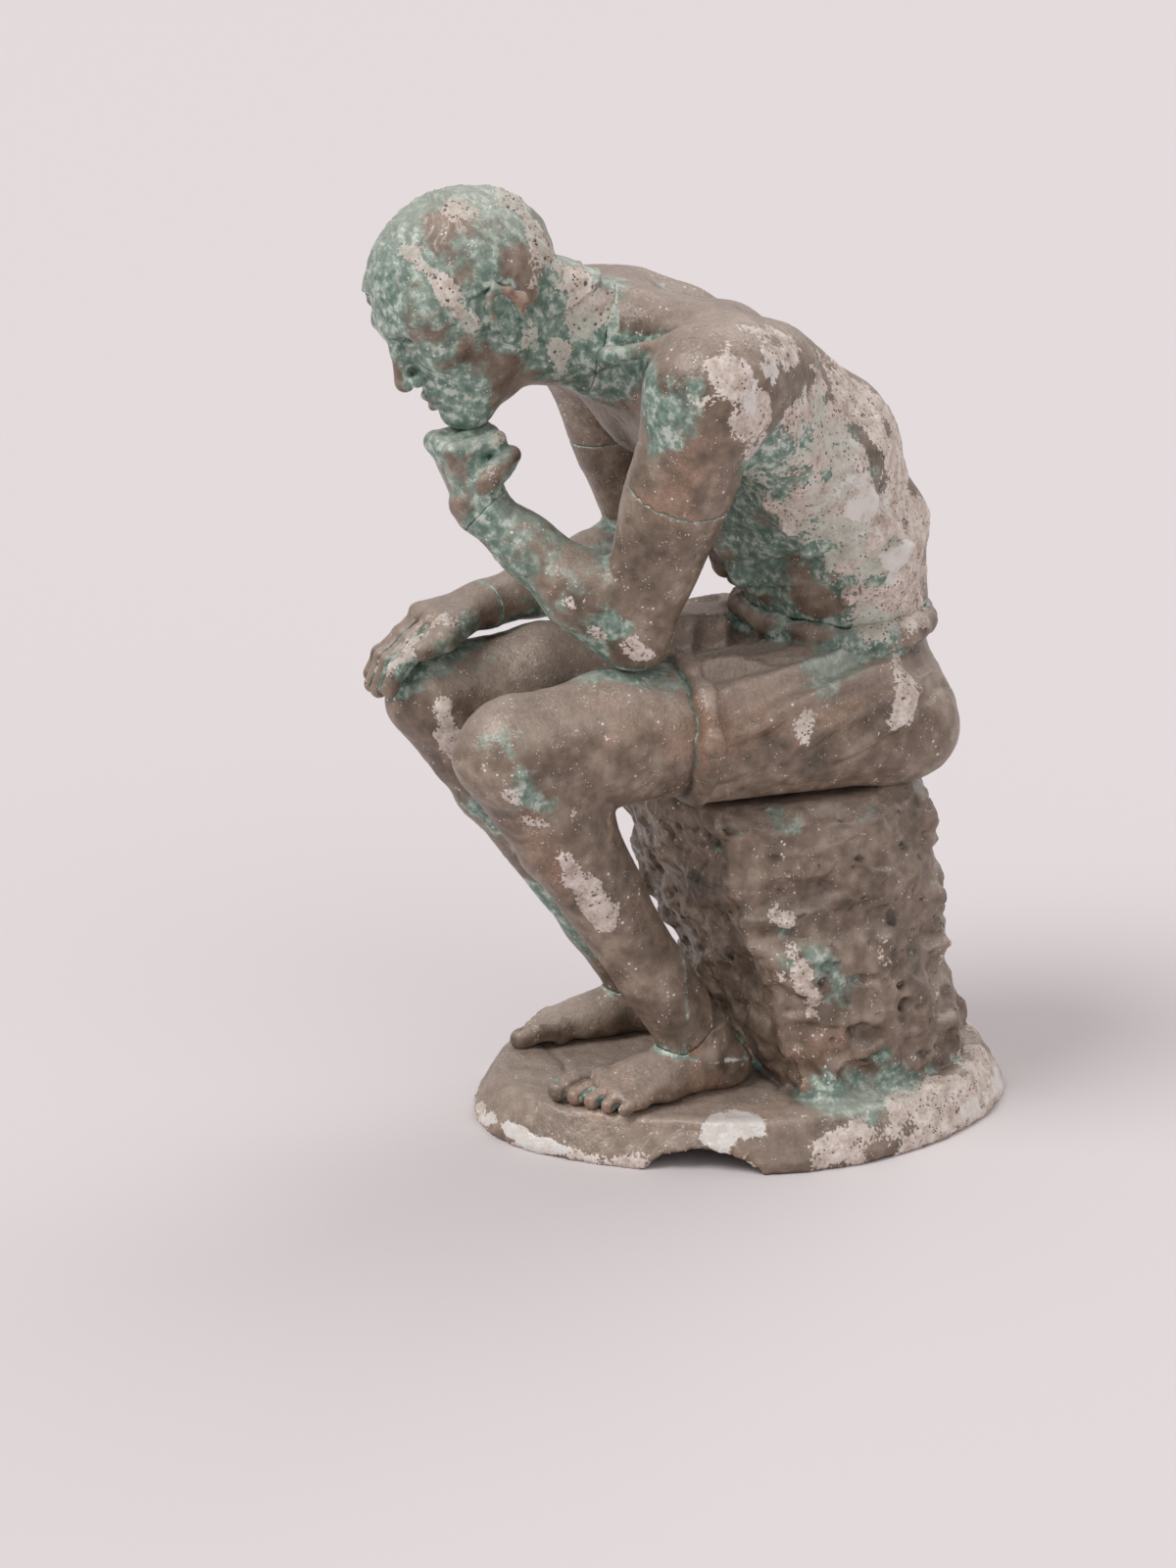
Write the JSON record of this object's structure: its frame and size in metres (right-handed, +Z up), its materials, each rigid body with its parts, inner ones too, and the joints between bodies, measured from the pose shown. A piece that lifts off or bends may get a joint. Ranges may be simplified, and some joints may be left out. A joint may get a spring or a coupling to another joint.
{
  "type": "seated thinker statuette",
  "caption": "Seated pensive figure on a hollow rock base, an assembled cast ornament with weathered green and brown patina.",
  "frame": {"origin": "centre of the bounding box at table level, under the rock base", "axes": "+Z up, the figure faces -Y, its left side is +X"},
  "size_m": [0.123, 0.1744, 0.25],
  "materials": {
    "weathered_casting": "brown bronze-coloured coat with green patina, flaked to pale cement in patches",
    "steel": "plain rod and fasteners, dulled"
  },
  "bodies": {
    "root": {"rock_base": "weathered_casting", "hips": "weathered_casting", "torso": "weathered_casting", "head": "weathered_casting", "left_arm": "weathered_casting", "left_hand": "weathered_casting", "right_arm": "weathered_casting", "right_hand": "weathered_casting", "left_leg": "weathered_casting", "left_foot": "weathered_casting", "right_leg": "weathered_casting", "right_foot": "weathered_casting", "spine_rod": "steel", "neck_dowel": "steel", "left_arm_rod": "steel", "right_arm_rod": "steel", "left_leg_rod": "steel", "right_leg_rod": "steel", "chin_pin": "steel", "elbow_pin": "steel", "palm_pin": "steel", "seat_washer": "steel", "seat_nut": "steel", "foot_washers": "steel", "foot_nuts": "steel"}
  },
  "joints": []
}
